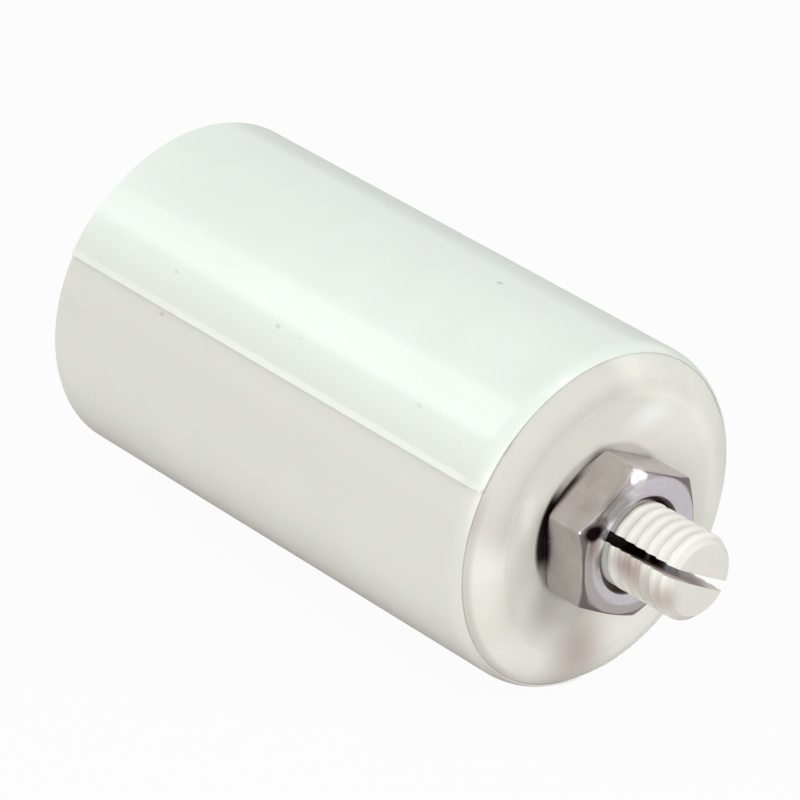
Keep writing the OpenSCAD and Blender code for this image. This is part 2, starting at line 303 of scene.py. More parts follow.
can_low, can_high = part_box("case")
CAN_R = can_high.z
RIM_X = can_low.x
TIP_X = can_high.x
BASE_ROUND = 3.0 * MM
RIM_ROUND = 0.5 * MM
MOUTH_R = CAN_R - 1.1 * MM
MOUTH_CHAMFER = 0.1 * MM
BORE_R = CAN_R - 1.5 * MM
BORE_ROUND = 0.4 * MM
SEAT_X = -1.1 * MM
SEAT_R = 7.0 * MM
DISH_R = 12.1 * MM
FLOOR_X = SEAT_X - 2.6 * MM
LEDGE_X = RIM_X + 7.0 * MM
STUD_R = 4.0 * MM
STUD_CHAMFER = 0.7 * MM
PITCH = 1.25 * MM
THREAD_DEPTH = 0.38 * MM
CREST_GAIN = 1.25
SLOT_W = 0.95 * MM
SLOT_X = 1.3 * MM
SLOT_TURN = radians(146)
# How many rows of points each part of the can's outline has, and how many points a row has.
THREAD_ROWS_PER_TURN = 12
DISH_ROWS = 14
BASE_ROUND_ROWS = 24
SIDE_ROWS = 24
RIM_ROUND_ROWS = 8
AROUND = 288


def arc(centre_x, centre_r, radius, start, end, count):
    """Points (x, r) of an arc. Its angles are in degrees from +r towards +x."""
    turns = np.radians(np.linspace(start, end, count))
    return [(centre_x + radius * sin(t), centre_r + radius * cos(t)) for t in turns]


def ring_row(x, radius, angles):
    """A row of points round the axis. x and radius are numbers or arrays."""
    x = np.broadcast_to(x, angles.shape)
    return np.stack([x, radius * np.cos(angles), radius * np.sin(angles)], 1)


def grid_mesh(name, rows, closed_round=True, closed_along=False, poles=()):
    """A mesh from rows of points.

    Each pole is (end, point): a fan closes the first (0) or the last (-1) row on it.
    """
    count = len(rows[0])
    points = np.concatenate(rows)
    faces = []
    last_row = len(rows) if closed_along else len(rows) - 1
    last_column = count if closed_round else count - 1
    for i in range(last_row):
        here, there = i * count, (i + 1) % len(rows) * count
        for j in range(last_column):
            k = (j + 1) % count
            faces.append((here + j, here + k, there + k, there + j))
    for end, point in poles:
        tip = len(points)
        points = np.concatenate([points, np.array([point])])
        base = 0 if end == 0 else (len(rows) - 1) * count
        for j in range(count):
            k = (j + 1) % count
            faces.append((tip, base + k, base + j) if end == 0 else (tip, base + j, base + k))
    mesh = bpy.data.meshes.new(name)
    mesh.from_pydata(points.tolist(), [], faces)
    piece = bpy.data.objects.new(name, mesh)
    bpy.context.scene.collection.objects.link(piece)
    return piece


def face_outward(piece, fill_ends=False):
    """Makes all normals of a closed mesh point out, once its open ends are filled."""
    shape = bmesh.new()
    shape.from_mesh(piece.data)
    if fill_ends:
        open_edges = [edge for edge in shape.edges if edge.is_boundary]
        bmesh.ops.holes_fill(shape, edges=open_edges, sides=0)
    bmesh.ops.recalc_face_normals(shape, faces=shape.faces)
    shape.to_mesh(piece.data)
    shape.free()


def smooth_by_angle(piece, limit):
    """Smooth shading, with edges sharper than limit degrees kept crisp."""
    piece.data.polygons.foreach_set("use_smooth", [True] * len(piece.data.polygons))
    piece.data.set_sharp_from_angle(angle=radians(limit))


def apply_modifiers(piece):
    """Turns the piece's modifiers into its mesh."""
    depsgraph = bpy.context.evaluated_depsgraph_get()
    done = bpy.data.meshes.new_from_object(piece.evaluated_get(depsgraph))
    old = piece.data
    piece.modifiers.clear()
    piece.data = done
    bpy.data.meshes.remove(old)


def helix_ridge(x, angles):
    """Height of a right-handed helix, from 0 in its groove to 1 on its ridge."""
    phase = (x / PITCH - angles / (2 * pi)) % 1.0
    return 0.5 + 0.5 * np.cos(2 * pi * phase)


def thread_radius(x, angles):
    """Radius over the thread: rounded ridges, cut back by the chamfer at the tip."""
    ridge = np.clip(CREST_GAIN * helix_ridge(x, angles), 0, 1)
    fade = np.clip((x - SEAT_X) / PITCH, 0, 1)
    radius = STUD_R - THREAD_DEPTH * (1 - ridge) * fade
    chamfer = STUD_R - np.maximum(0, x - (TIP_X - STUD_CHAMFER))
    return np.minimum(radius, chamfer)


def dish_profile():
    """Points (x, r) from the edge of the seat to the rim of the dish: part of a ball."""
    depth = -SEAT_X
    centre_x = (DISH_R**2 - SEAT_R**2 - depth**2) / (2 * depth)
    ball_r = sqrt(centre_x**2 + DISH_R**2)
    radii = np.linspace(SEAT_R, DISH_R, DISH_ROWS)
    return [(centre_x - sqrt(ball_r**2 - r**2), r) for r in radii]


def build_can():
    """The whole moulding: rows from the stud's tip, over the outside and into the bore."""
    angles = np.linspace(0, 2 * pi, AROUND, endpoint=False)
    rows = [ring_row(TIP_X, 0.5 * STUD_R, angles)]
    stud_x = np.arange(TIP_X, SEAT_X, -PITCH / THREAD_ROWS_PER_TURN)
    rows += [ring_row(x, thread_radius(x, angles), angles) for x in stud_x]
    round_r = CAN_R - BASE_ROUND
    # Some rows lie close beside an edge, to keep it crisp under smooth shading.
    side_x = np.linspace(-BASE_ROUND - 1 * MM, RIM_X + RIM_ROUND + 0.2 * MM, SIDE_ROWS)
    seat = [(SEAT_X, r) for r in (STUD_R + 0.02 * MM, STUD_R + 1.0 * MM, SEAT_R - 0.3 * MM)]
    face = [(0, r) for r in (DISH_R + 0.06 * MM, 0.5 * (DISH_R + round_r), round_r)]
    side = [(x, CAN_R) for x in side_x]
    mouth = [(RIM_X, MOUTH_R + MOUTH_CHAMFER), (RIM_X + MOUTH_CHAMFER, MOUTH_R)]
    ledge = [(LEDGE_X, MOUTH_R), (LEDGE_X, BORE_R)]
    bore = [(FLOOR_X - BORE_ROUND, BORE_R), (FLOOR_X, BORE_R - BORE_ROUND)]
    profile = [
        *seat, *dish_profile(), *face,
        *arc(-BASE_ROUND, round_r, BASE_ROUND, 86, 0, BASE_ROUND_ROWS),
        *side,
        *arc(RIM_X + RIM_ROUND, CAN_R - RIM_ROUND, RIM_ROUND, 0, -90, RIM_ROUND_ROWS),
        *mouth, *ledge, *bore, (FLOOR_X, 0.5 * BORE_R),
    ]
    rows += [ring_row(x, r, angles) for x, r in profile]
    can = grid_mesh("can", rows, poles=[(0, (TIP_X, 0, 0)), (-1, (FLOOR_X, 0, 0))])
    face_outward(can)
    return can


def cut_slot(can):
    """Cuts the slot through the stud, from its tip."""
    length = TIP_X - SLOT_X + 1 * MM
    bpy.ops.mesh.primitive_cube_add(size=1)
    cutter = bpy.context.active_object
    cutter.scale = (length, 3 * STUD_R, SLOT_W)
    cutter.rotation_euler = (SLOT_TURN, 0, 0)
    cutter.location = (SLOT_X + length / 2, 0, 0)
    slot_cut = can.modifiers.new("slot", "BOOLEAN")
    slot_cut.operation = "DIFFERENCE"
    slot_cut.solver = "EXACT"
    slot_cut.object = cutter
    apply_modifiers(can)
    bpy.data.objects.remove(cutter)


def make_specks():
    """Small dark specks of dirt, far apart: a mask from 0 to 1. Lengths are in mm."""
    group, given, out = new_group(
        "dirt_specks",
        [("Spacing", "NodeSocketFloat", 6.0), ("Speck Size", "NodeSocketFloat", 0.3),
         ("Share", "NodeSocketFloat", 0.3)],
        [("Mask", "NodeSocketFloat")],
    )
    place = group.nodes.new("ShaderNodeTexCoord").outputs["Object"]
    cells = group.nodes.new("ShaderNodeTexVoronoi")
    pick = group.nodes.new("ShaderNodeSeparateColor")
    per_metre = arithmetic(group, "DIVIDE", 1.0 / MM, given.outputs["Spacing"])
    wire(group,
         (place, cells.inputs["Vector"]),
         (per_metre, cells.inputs["Scale"]),
         (cells.outputs["Color"], pick.inputs["Color"]))
    reach = arithmetic(group, "DIVIDE", given.outputs["Speck Size"], given.outputs["Spacing"])
    away = arithmetic(group, "DIVIDE", cells.outputs["Distance"], reach)
    soft = ramp(group, arithmetic(group, "SUBTRACT", 1.0, away), 0.0, 0.6)
    chosen = arithmetic(group, "LESS_THAN", pick.outputs["Red"], given.outputs["Share"])
    wire(group, (multiply(group, soft, chosen), out.inputs["Mask"]))
    return group


def make_soft_patch():
    """One soft-edged spot at Centre, of half size Reach along each axis (both in mm): a mask."""
    group, given, out = new_group(
        "soft_patch",
        [("Centre", "NodeSocketVector", (0.0, 0.0, 0.0)),
         ("Reach", "NodeSocketVector", (1.0, 1.0, 1.0))],
        [("Mask", "NodeSocketFloat")],
    )
    place = group.nodes.new("ShaderNodeTexCoord").outputs["Object"]
    in_mm = vector_maths(group, "SCALE", place)
    in_mm.inputs["Scale"].default_value = 1.0 / MM
    away = vector_maths(group, "SUBTRACT", in_mm.outputs["Vector"], given.outputs["Centre"])
    share = vector_maths(group, "DIVIDE", away.outputs["Vector"], given.outputs["Reach"])
    length = vector_maths(group, "LENGTH", share.outputs["Vector"])
    wire(group, (ramp(group, length.outputs["Value"], 1.0, 0.0), out.inputs["Mask"]))
    return group


dirt_specks = make_specks()
soft_patch = make_soft_patch()


def patch(tree, centre, reach):
    """The mask of one soft-edged spot."""
    return place_group(tree, soft_patch, Centre=centre, Reach=reach).outputs["Mask"]


def stain(tree, tone, mask, share, colour):
    """Turns a tone towards a colour by the mask times share. Returns the new tone."""
    return blend_colour(tree, multiply(tree, mask, share), tone, colour)


def on_end(radius, turn):
    """Place in mm on the end face, from its distance from the axis and its turn from +Y."""
    return (-0.6, radius * cos(radians(turn)), radius * sin(radians(turn)))


# Colours for painted highlights on the dish, painted shade on the rounded edge, and brown painted
# shade.
DISH_HIGHLIGHT, EDGE_SHADE, SHADE_BROWN = (0.97, 0.99, 0.96), (0.53, 0.51, 0.47), (0.42, 0.32, 0.30)
# Painted highlights on the dish, and painted shade on the dish below the nut and on the stud's
# lower side:
# centre and reach in mm, share, colour.
PAINTED_LIGHT_PATCHES = (
    (on_end(10.4, 57), (4, 3.6, 2.8), 0.90, DISH_HIGHLIGHT),
    (on_end(9.8, 152), (4, 1.7, 3.6), 0.70, DISH_HIGHLIGHT),
    (on_end(11.9, 252), (4, 5.4, 5.6), 0.75, SHADE_BROWN),
    (on_end(9.0, 222), (4, 3.6, 3.6), 0.40, SHADE_BROWN),
    ((6.4, -3.9, 0.8), (3.2, 2.4, 2.6), 1.00, SHADE_BROWN),
    ((9.2, -3.9, -0.8), (4.6, 2.4, 2.6), 0.55, SHADE_BROWN),
    ((11.0, -4.0, -0.3), (1.8, 1.8, 1.8), 0.45, SHADE_BROWN),
)
# Painted shade on the rounded edge at two turns, and a painted shadow just outside the film's end
# at a third:
# middle turn in degrees, radii in mm where they start and are full, share, colour.
EDGE_SHADING = (
    (122, 11.3, 12.8, 0.60, EDGE_SHADE),
    (32, 12.2, 13.6, 0.25, EDGE_SHADE),
    (188, 14.75, 15.2, 0.38, (0.40, 0.34, 0.32)),
)
PLASTIC_ROUGHNESS = 0.24
SATIN_EXTRA = 0.30
# Distances from the axis, in mm, between which a mark fades in.
SATIN_RING = (11.6, 12.8)
UNDER_NUT_RING = (7.7, 7.1)
GROOVE_RING = (3.95, 3.6)
# Places along the axis, in mm, that part the base, its dished face and the stud's free end.
BASE_ABOVE = -6.0
FACE_BELOW = -0.3
FREE_STUD_ABOVE = 3.5
SLOT_MARGIN = 0.02 * MM
SLOT_MARKS_ABOVE = 0.5 * MM


def slot_walls(tree):
    """Masks of the slot: all of it, and how deep in it, from 0 near the tip to 1 at the floor."""
    place, axes = own_place(tree)

    def off_axis(direction):
        """Distance from the stud's axis along a direction across it."""
        along = vector_maths(tree, "DOT_PRODUCT", place, direction).outputs["Value"]
        return arithmetic(tree, "ABSOLUTE", along)

    across = off_axis((0, -sin(SLOT_TURN), cos(SLOT_TURN)))
    inside = arithmetic(tree, "LESS_THAN", across, 0.5 * SLOT_W + SLOT_MARGIN)
    above_face = arithmetic(tree, "GREATER_THAN", axes["X"], SLOT_MARKS_ABOVE)
    walls = multiply(tree, inside, above_face)
    from_tip = ramp(tree, axes["X"], TIP_X, SLOT_X)
    from_mouth = ramp(tree, off_axis((0, cos(SLOT_TURN), sin(SLOT_TURN))), STUD_R, 0.0)
    deep = arithmetic(tree, "ADD", from_tip, multiply(tree, from_mouth, 0.5))
    return walls, multiply(tree, walls, deep)


def make_can_plastic():
    """Glossy cream plastic, satin on the rounded edge, with dirt specks; painted highlights and
    painted shade on the dish, painted shade on the rounded edge, the stud, round the nut, in the
    thread's grooves and in the slot, and a lighter painted tint on the slot's walls.
    """
    material, tree, shader = finish(
        "moulded_plastic", PLASTIC_ROUGHNESS, Subsurface_Weight=0.12, Subsurface_Scale=1.2 * MM)
    shader.inputs["Subsurface Radius"].default_value = (1.0, 0.9, 0.7)
    grain = place_group(tree, fine_grain, Size=0.9, Cloud_Size=7.0)
    specks = place_group(tree, dirt_specks, Spacing=5.0, Speck_Size=0.22, Share=0.25)
    axis = place_group(tree, round_axis)
    radius, along = axis.outputs["Radius"], axis.outputs["Along"]
    tone = drifting_tone(tree, grain, (0.80, 0.80, 0.73), (0.86, 0.865, 0.80))
    # Painted highlights and painted shade on the dish and the stud.
    for centre, reach, share, colour in PAINTED_LIGHT_PATCHES:
        tone = stain(tree, tone, patch(tree, centre, reach), share, colour)

    on_face = arithmetic(tree, "LESS_THAN", along, FACE_BELOW)
    # Painted shade round the nut's foot on the face, with a near-black painted shadow to the nut's
    # left.
    shade_under_nut = multiply(tree, ramp(tree, radius, *UNDER_NUT_RING), on_face)
    shadow_left_of_nut = ramp(tree, patch(tree, on_end(7.0, 163), (4, 5.0, 6.2)), 0.0, 0.6)
    tone = stain(tree, tone, shade_under_nut, 0.35, (0.30, 0.24, 0.21))
    tone = stain(tree, tone, multiply(tree, shade_under_nut, shadow_left_of_nut), 1.0, (0.02, 0.012, 0.012))

    on_base = arithmetic(tree, "GREATER_THAN", along, BASE_ABOVE)
    # Painted shade on the rounded edge, and a painted shadow along the film's end.
    for turn, start, full, share, colour in EDGE_SHADING:
        side = ramp(tree, patch(tree, on_end(14.2, turn), (30, 15.5, 15.5)), 0.12, 0.45)
        ring = multiply(tree, ramp(tree, radius, start, full), on_base)
        tone = stain(tree, tone, multiply(tree, side, ring), share, colour)

    above_nut = arithmetic(tree, "GREATER_THAN", along, FREE_STUD_ABOVE)
    # Painted shade in the grooves of the thread above the nut.
    groove_shade = multiply(tree, ramp(tree, radius, *GROOVE_RING), above_nut)
    walls, deep = slot_walls(tree)
    # A lighter, pinker painted tint on the slot's walls, brown then near-black painted shade
    # deeper in the slot, painted shade in the thread's grooves, and dirt specks.
    for mask, share, colour in (
        (groove_shade, 0.22, (0.45, 0.40, 0.36)),
        (walls, 0.80, (0.94, 0.88, 0.84)),
        (ramp(tree, deep, 0.20, 0.50), 0.85, (0.34, 0.20, 0.18)),
        (ramp(tree, deep, 0.45, 0.80), 0.98, (0.015, 0.004, 0.004)),
        (specks.outputs["Mask"], 0.30, (0.35, 0.27, 0.22)),
    ):
        tone = stain(tree, tone, mask, share, colour)

    satin = multiply(tree, ramp(tree, radius, *SATIN_RING), on_base)
    rough = arithmetic(tree, "ADD", multiply(tree, satin, SATIN_EXTRA), PLASTIC_ROUGHNESS)
    wire(tree, (tone, shader.inputs["Base Color"]), (rough, shader.inputs["Roughness"]))
    raise_bump(tree, shader, grain.outputs["Height"], 0.006 * MM)
    return material


can = build_can()
cut_slot(can)
smooth_by_angle(can, 38)
can.data.materials.append(make_can_plastic())
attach(can, "root")
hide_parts("case")


# ---------------------------------------------------------------------------
# The cover: moulded in the same plastic, with a raised edge and low blocks that keep the
# terminals from turning. It is pressed onto a ledge inside the can's mouth.
# ---------------------------------------------------------------------------

WELD = 0.001 * MM
FLAT_BELOW = radians(1)
EDGE_ABOVE = radians(30)
BEVEL_SEGMENTS = 3


def softened(name, node, edge):
    """A copy of a CAD node with its edges rounded off by edge metres."""
    piece = bpy.data.objects.new(name, nodes[node].data.copy())
    bpy.context.scene.collection.objects.link(piece)
    piece.data.materials.clear()
    shape = bmesh.new()
    shape.from_mesh(piece.data)
    bmesh.ops.remove_doubles(shape, verts=shape.verts, dist=WELD)
    bmesh.ops.dissolve_limit(
        shape, angle_limit=FLAT_BELOW, verts=shape.verts, edges=shape.edges)
    shape.to_mesh(piece.data)
    shape.free()
    bevel = piece.modifiers.new("edges", "BEVEL")
    bevel.width = edge
    bevel.segments = BEVEL_SEGMENTS
    bevel.limit_method = "ANGLE"
    bevel.angle_limit = EDGE_ABOVE
    bevel.use_clamp_overlap = True
    apply_modifiers(piece)
    smooth_by_angle(piece, 32)
    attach(piece, "root")
    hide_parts(node)
    return piece


cover = softened("cover_disc", "cover", 0.12 * MM)
cover.data.materials.append(
    cloudy("cover_plastic", (0.76, 0.75, 0.67), (0.82, 0.81, 0.74), 0.42, 0.35, 8, 0.012))


# ---------------------------------------------------------------------------
# The terminals: each is one strip of brass, tin-plated, blanked and folded up into two blades
# with latch holes.
# ---------------------------------------------------------------------------

def make_worn_edge():
    """Where a surface bends sharply: a mask that is 1 on edges and 0 on flats. Reach is in mm."""
    group, given, out = new_group(
        "worn_edge",
        [("Reach", "NodeSocketFloat", 0.1), ("Roughen", "NodeSocketFloat", 0.5)],
        [("Mask", "NodeSocketFloat")],
    )
    bevel = group.nodes.new("ShaderNodeBevel")
    bevel.samples = 6
    wire(group, (multiply(group, given.outputs["Reach"], MM), bevel.inputs["Radius"]))
    surface = group.nodes.new("ShaderNodeNewGeometry")
    match = vector_maths(group, "DOT_PRODUCT", bevel.outputs["Normal"], surface.outputs["Normal"])
    edge = ramp(group, match.outputs["Value"], 0.995, 0.90)
    grain = place_group(group, fine_grain, Size=0.3)
    broken = arithmetic(group, "SUBTRACT", edge, multiply(
        group, grain.outputs["Height"], given.outputs["Roughen"]))
    clamp = group.nodes.new("ShaderNodeClamp")
    wire(group, (broken, clamp.inputs["Value"]), (clamp.outputs["Result"], out.inputs["Mask"]))
    return group


worn_edge = make_worn_edge()


def make_tinned_brass():
    """Dull tin plating, with the brass showing through on the worn edges."""
    material, tree, shader = finish("tinned_brass", 0.3, Metallic=1.0)
    grain = place_group(tree, fine_grain, Size=0.35, Cloud_Size=2.5)
    wear = place_group(tree, worn_edge, Reach=0.12, Roughen=0.6)
    tone = drifting_tone(tree, grain, (0.58, 0.565, 0.54), (0.74, 0.73, 0.71))
    tone = stain(tree, tone, wear.outputs["Mask"], 0.5, (0.72, 0.55, 0.28))
    wire(tree, (tone, shader.inputs["Base Color"]))
    vary_roughness(tree, shader, grain, 0.22, 0.40)
    raise_bump(tree, shader, grain.outputs["Height"], 0.006 * MM)
    return material


tinned_brass = make_tinned_brass()
for end in ("upper", "lower"):
    terminal = softened(f"terminal_pair_{end}", f"terminal_{end}", 0.08 * MM)
    terminal.data.materials.append(tinned_brass)


# ---------------------------------------------------------------------------
# The rivets: hollow brass, passed through terminal, cover and solder tag, and rolled over at
# both ends.
# ---------------------------------------------------------------------------

rivet_brass = cloudy("rivet_brass", (0.60, 0.44, 0.17), (0.74, 0.57, 0.26), 0.26, 0.3, 1.5, 0.008,
                     Metallic=1.0)
for end in ("upper", "lower"):
    rivet = softened(f"hollow_rivet_{end}", f"rivet_{end}", 0.2 * MM)
    rivet.data.materials.append(rivet_brass)


# ---------------------------------------------------------------------------
# The sleeve: one sheet of thin film wound once round the can, its outer end lapped over its
# inner end. Heat draws it tight: it curls over the rounded edge of the mounting face.
# ---------------------------------------------------------------------------

FILM = 0.18 * MM
FILM_GAP = 0.03 * MM
LAP_GAP = 0.01 * MM
SEAM_TURN = radians(146.5)
LAP = 3.7 * MM / CAN_R
STEP_TURN = radians(12)
LIFT = 0.20 * MM
LIFT_TURN = radians(2.2)
LIFT_FADE = radians(18)
FILM_CURL = 30
FILM_END_X = RIM_X + RIM_ROUND
# The film's points lie closer together within these turns of its inner and its outer end.
FINE_START = radians(20)
FINE_END = radians(10)
START_POINTS, MIDDLE_POINTS, END_POINTS = 60, 300, 160
STRAIGHT_ROWS = 60
CURL_ROWS = 14


def film_layer(turn):
    """How far the film stands off the can, at a turn past its inner end.

    Returns its climb onto the lap, and the lift of its outer edge.
    """
    climb = np.clip((turn - (2 * pi - STEP_TURN)) / STEP_TURN, 0, 1)
    climb = climb * climb * (3 - 2 * climb)
    lift = np.clip((turn - (2 * pi + LAP - LIFT_TURN)) / LIFT_TURN, 0, 1)
    return climb * (FILM + LAP_GAP), LIFT * lift**1.1


def build_sleeve():
    """The film as one closed sheet: its outer side, then its inner side back again."""
    turns = np.concatenate([
        np.linspace(0, FINE_START, START_POINTS, endpoint=False),
        np.linspace(FINE_START, 2 * pi - FINE_END, MIDDLE_POINTS, endpoint=False),
        np.linspace(2 * pi - FINE_END, 2 * pi + LAP, END_POINTS),
    ])
    climb, lift = film_layer(turns)
    angles = turns + SEAM_TURN - LAP
    round_x, round_r = -BASE_ROUND, CAN_R - BASE_ROUND
    straight = [FILM_END_X, *np.linspace(FILM_END_X + 0.3 * MM, round_x, STRAIGHT_ROWS)]
    bends = np.radians(np.linspace(4, FILM_CURL, CURL_ROWS))

    def side(thick):
        """Rows of one side of the film, from the rim to the curl."""
        flat = FILM_GAP + climb + lift + thick
        rows = [ring_row(x, CAN_R + flat, angles) for x in straight]
        for bend in bends:
            reach = BASE_ROUND + FILM_GAP + climb + lift * max(0.0, 1 - bend / LIFT_FADE) + thick
            rows.append(ring_row(round_x + reach * sin(bend), round_r + reach * cos(bend), angles))
        return rows

    rows = side(FILM) + side(0)[::-1]
    sleeve = grid_mesh("film_wrap", rows, closed_round=False, closed_along=True)
    face_outward(sleeve, fill_ends=True)
    smooth_by_angle(sleeve, 40)
    return sleeve


def on_can(along, turn):
    """Place in mm on the sleeve, from its x and its turn in degrees from +Y towards +Z."""
    radius = (CAN_R + FILM) / MM
    return (along, radius * cos(radians(turn)), radius * sin(radians(turn)))


# Dark specks of dirt on the film, and last a painted shadow under the seam's lifted end: centre
# and reach in mm, share.
FILM_SPECKS_AND_SEAM_SHADOW = (
    (on_can(-42.9, 134.7), (0.5, 0.4, 0.4), 0.55),
    (on_can(-29.5, 133.6), (0.6, 0.4, 0.4), 0.70),
    (on_can(-26.5, 133.3), (0.5, 0.35, 0.35), 0.50),
    (on_can(-11.4, 133), (0.7, 0.4, 0.4), 0.40),
    (on_can(-5.7, 136.6), (0.5, 0.35, 0.35), 0.30),
    (on_can(-42.4, 148.6), (0.5, 0.3, 0.3), 0.35),
    (on_can(-16.7, 78.7), (0.5, 0.4, 0.4), 0.50),
    ((-1.1, -13.1, 8.7), (0.5, 0.6, 0.7), 0.90),
)


def past_seam(tree):
    """Angle past the lap's outer edge, round the can, from 0 to a full turn."""
    _, axes = own_place(tree)
    turn = arithmetic(tree, "ARCTAN2", axes["Z"], axes["Y"])
    return arithmetic(
        tree, "MODULO", arithmetic(tree, "ADD", turn, 4 * pi - SEAM_TURN), 2 * pi)


def make_film():
    """Satin film under a glossy skin: cooler above the seam, creamier below, with painted shade
    beside the seam and along the underside, a painted shadow at the seam's end, and a few dirt
    specks.
    """
    material, tree, shader = finish(
        "sleeve_film", 0.42, Subsurface_Weight=0.08, Subsurface_Scale=0.6 * MM,
        Coat_Weight=0.6, Coat_Roughness=0.17, Coat_IOR=1.5)
    grain = place_group(tree, fine_grain, Size=1.4, Cloud_Size=11.0)
    upper = drifting_tone(tree, grain, (0.785, 0.845, 0.775), (0.815, 0.875, 0.805))
    lower = drifting_tone(tree, grain, (0.815, 0.81, 0.75), (0.845, 0.84, 0.78))
    past = past_seam(tree)
    # Painted shade on the film just below and just above the seam.
    shade_below_seam = ramp(tree, past, radians(48), radians(4))
    shade_above_seam = ramp(tree, past, 2 * pi - radians(17), 2 * pi - radians(3))
    lower = blend_colour(tree, shade_below_seam, lower, (0.715, 0.715, 0.65))
    upper = blend_colour(tree, shade_above_seam, upper, (0.745, 0.785, 0.71))
    tone = blend_colour(tree, ramp(tree, past, pi, radians(70)), upper, lower)
    # Painted shade along the underside of the can, towards its lower edge.
    underside_shade = multiply(tree, ramp(tree, past, radians(54), radians(76)),
                         ramp(tree, past, radians(120), radians(90)))
    tone = stain(tree, tone, underside_shade, 0.35, (0.45, 0.38, 0.35))
    specks = place_group(tree, dirt_specks, Spacing=8.5, Speck_Size=0.3, Share=0.16)
    tone = stain(tree, tone, specks.outputs["Mask"], 0.3, (0.32, 0.27, 0.24))
    # Dirt specks, and a painted shadow where the seam's lifted end meets the curl.
    for centre, reach, share in FILM_SPECKS_AND_SEAM_SHADOW:
        tone = stain(tree, tone, patch(tree, centre, reach), share, (0.20, 0.19, 0.17))
    rough = ramp(tree, grain.outputs["Cloud"], 0.2, 0.8, 0.39, 0.45)
    wire(tree, (tone, shader.inputs["Base Color"]), (rough, shader.inputs["Roughness"]))
    raise_bump(tree, shader, grain.outputs["Height"], 0.006 * MM)
    return material


sleeve = build_sleeve()
sleeve.data.materials.append(make_film())
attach(sleeve, "root")
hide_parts("film_sleeve")


# ---------------------------------------------------------------------------
# The nut: an M8 hexagon of zinc-plated steel, faced and chamfered on both sides.
# It is screwed down the stud onto the seat in the dish, and clamps the can to its bracket.
# ---------------------------------------------------------------------------

NUT_AF = 13.0 * MM
NUT_T = 5.0 * MM
NUT_TURN = radians(29)
NUT_EDGE = 0.2 * MM
NUT_FALL = tan(radians(30))
NUT_SOFT = 0.07 * MM
NUT_BORE_R = STUD_R + 0.05 * MM
NUT_MOUTH = 0.5 * MM
NUT_THREAD_DEPTH = 0.22 * MM
NUT_THREAD_ROWS = 40
CORNER_ROUND = 0.35 * MM
# The nut's points lie closer together within this angle of a corner.
NUT_CORNER = 0.10
NUT_FLAT_FROM = 0.13


def hexagon_radius(angles):
    """Distance from the axis to a hexagon with slightly rounded corners."""
    from_corner = (angles - NUT_TURN + pi / 6) % (pi / 3) - pi / 6
    sharp = 0.5 * NUT_AF / np.cos(pi / 6 - np.abs(from_corner))
    centre = (0.5 * NUT_AF - CORNER_ROUND) / cos(pi / 6)
    side = centre * np.sin(np.abs(from_corner))
    rounded = (centre * np.cos(from_corner)
               + np.sqrt(np.maximum(CORNER_ROUND**2 - side**2, 0)))
    touch = atan2(CORNER_ROUND * sin(pi / 6), centre + CORNER_ROUND * cos(pi / 6))
    return np.where(np.abs(from_corner) < touch, np.minimum(sharp, rounded), sharp)


def build_nut():
    """Rows over one half of the nut, then the other, then back through the threaded bore."""
    sixth = np.concatenate([
        np.linspace(-NUT_CORNER, NUT_CORNER, 15),
        np.linspace(NUT_FLAT_FROM, pi / 3 - NUT_FLAT_FROM, 13),
    ])
    angles = np.concatenate([NUT_TURN + k * pi / 3 + sixth for k in range(6)])
    outside = hexagon_radius(angles)
    face_r = 0.5 * NUT_AF - NUT_EDGE
    mouth_r = NUT_BORE_R + NUT_MOUTH
    chamfer = (outside - face_r) * NUT_FALL
    half = [
        (NUT_MOUTH, NUT_BORE_R),
        (NUT_SOFT * 0.4, mouth_r - NUT_SOFT * 0.4),
        (0, mouth_r + NUT_SOFT),
        (0, 0.5 * (mouth_r + face_r)),
        (0, face_r - NUT_SOFT),
        (NUT_SOFT * 0.25, face_r + NUT_SOFT * 0.5),
        *[(chamfer * (0.55 * s + 0.45 * s**3), face_r + s * (outside - face_r))
          for s in (0.2, 0.4, 0.6, 0.75, 0.88)],
        (chamfer * 0.90 + NUT_SOFT * 0.3, outside - NUT_SOFT * 0.8),
        (chamfer + NUT_SOFT * 0.7, outside - NUT_SOFT * 0.25),
        (chamfer + NUT_SOFT * 2, outside),
        (chamfer + NUT_SOFT * 5, outside),
    ]
    thread_from, thread_to = NUT_T - NUT_MOUTH - 0.2 * MM, NUT_MOUTH + 0.2 * MM
    bore = [
        (height, NUT_BORE_R + NUT_THREAD_DEPTH * helix_ridge(SEAT_X + height, angles))
        for height in np.linspace(thread_from, thread_to, NUT_THREAD_ROWS)
    ]
    steps = half + [(NUT_T - height, radius) for height, radius in reversed(half)] + bore
    rows = [ring_row(SEAT_X + height, radius, angles) for height, radius in steps]
    nut = grid_mesh("nut", rows, closed_along=True)
    face_outward(nut)
    smooth_by_angle(nut, 30)
    return nut


# Near-black for painted dark reflections and painted shadow on the nut.
PAINTED_DARK = (0.012, 0.006, 0.006)
# Painted dark reflections near one corner of the nut's front, and painted shade on its face beside
# the bore: centre and reach in mm, share.
PAINTED_DARK_SPOTS = (
    ((3.8, -5.2, 3.5), (1.6, 1.4, 1.2), 1.0),
    ((3.9, -4.3, 4.1), (1.0, 1.1, 1.1), 0.65),
    ((3.9, -4.0, 0.5), (1.2, 1.6, 1.9), 0.65),
    ((3.9, -2.5, 4.9), (1.2, 2.4, 1.9), 0.45),
)


